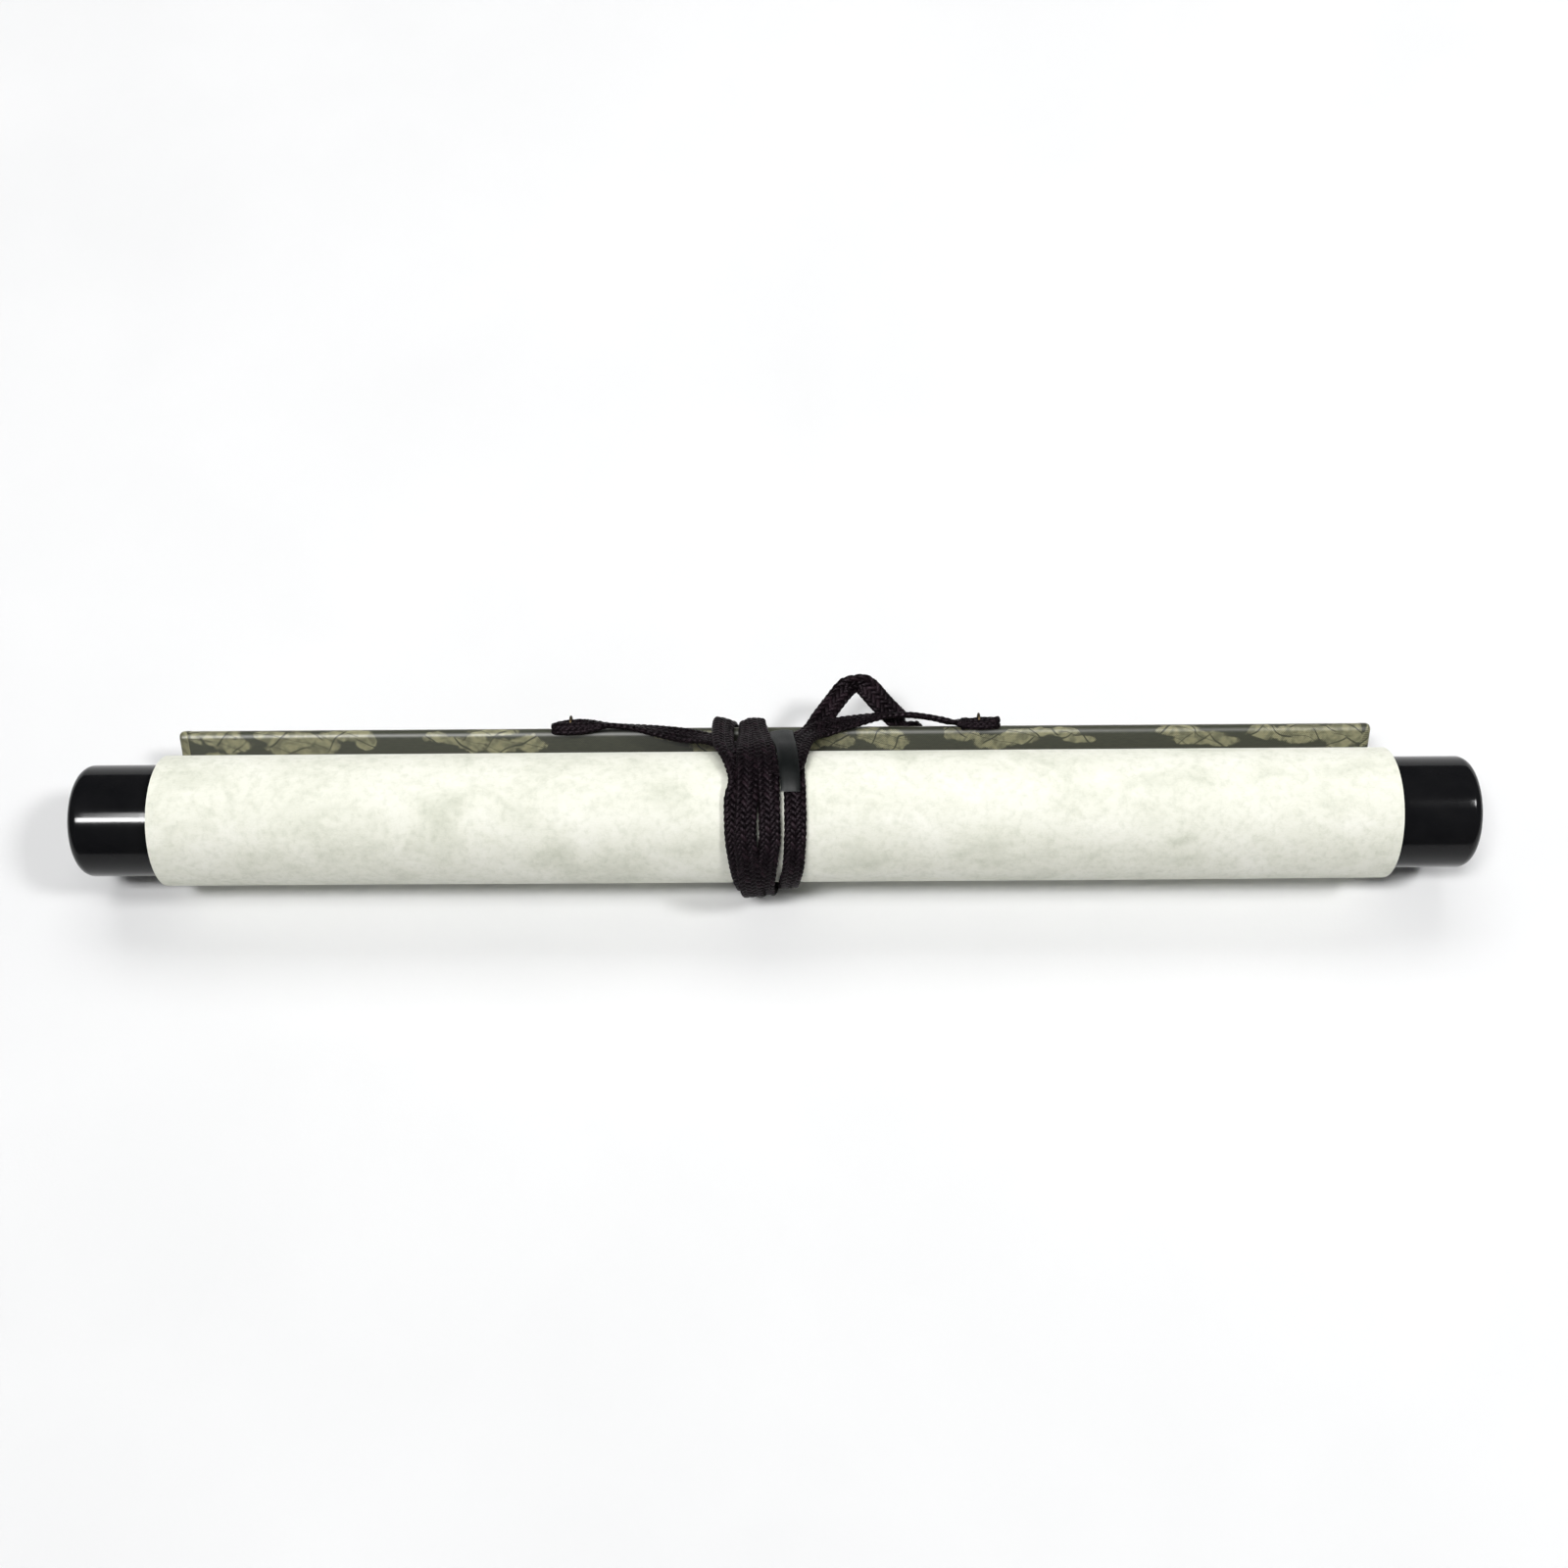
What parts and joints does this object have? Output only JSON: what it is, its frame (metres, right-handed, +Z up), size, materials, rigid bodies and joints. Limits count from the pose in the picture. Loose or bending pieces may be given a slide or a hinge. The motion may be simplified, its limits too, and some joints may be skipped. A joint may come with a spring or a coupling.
{
  "type": "hanging scroll",
  "caption": "Rolled hanging scroll: a sheet wound on a roller with black end knobs, its brocade stave tied to the roll by a flat braided cord with a free loop.",
  "frame": {"origin": "centre of the left knob's outer end face, on the roller's axis", "axes": "+X along the roller to the right knob, +Y away from the viewer on the stave's side, +Z up"},
  "size_m": [0.372, 0.0617, 0.039],
  "materials": {
    "rod_wood": "plain sanded cedar",
    "stave_wood": "plain sanded cedar",
    "black_lacquer": "polished black lacquer over wood",
    "backing_paper": "matte mulberry paper, faintly mottled",
    "picture_paper": "matte mulberry paper",
    "brocade": "twill ground with a gold cloud and leaf figure",
    "band_silk": "gold figured silk",
    "border_silk": "plain olive silk",
    "cord": "flat tubular braid, near black with a purple glint",
    "ring_brass": "darkened brass"
  },
  "bodies": {
    "wound_sheet": {"backing_paper": "backing_paper", "top_cloth": "brocade", "upper_band": "band_silk", "art_sheet": "picture_paper", "lower_band": "band_silk", "left_border": "border_silk", "right_border": "border_silk", "bottom_cloth": "border_silk", "top_stave": "stave_wood", "left_stave_patch": "brocade", "right_stave_patch": "brocade", "left_ring_washer": "ring_brass", "right_ring_washer": "ring_brass", "hanging_cord": "cord", "wrapping_cord": "cord"},
    "roller": {"roller_rod": "rod_wood", "left_knob": "black_lacquer", "right_knob": "black_lacquer"},
    "left_ring": {"left_ring_screw": "ring_brass"},
    "right_ring": {"right_ring_screw": "ring_brass"},
    "bow": {"cord_loop": "cord"}
  },
  "joints": [
    {"name": "roller_twist", "type": "hinge", "parent": "wound_sheet", "child": "roller", "pos_m": [0.186, 0, 0], "axis": [1, 0, 0], "range_deg": [-30, 30]},
    {"name": "left_ring_turn", "type": "hinge", "parent": "wound_sheet", "child": "left_ring", "pos_m": [0.13, 0.02742, 0.00084], "axis": [0, 0.6947, 0.7193], "range_deg": [-12, 12]},
    {"name": "right_ring_turn", "type": "hinge", "parent": "wound_sheet", "child": "right_ring", "pos_m": [0.242, 0.02742, 0.00084], "axis": [0, 0.6947, 0.7193], "range_deg": [-12, 12]},
    {"name": "bow_swing", "type": "hinge", "parent": "wound_sheet", "child": "bow", "pos_m": [0.209, 0.02927, 0.00065], "axis": [1, 0, 0], "range_deg": [-35, 40]}
  ]
}
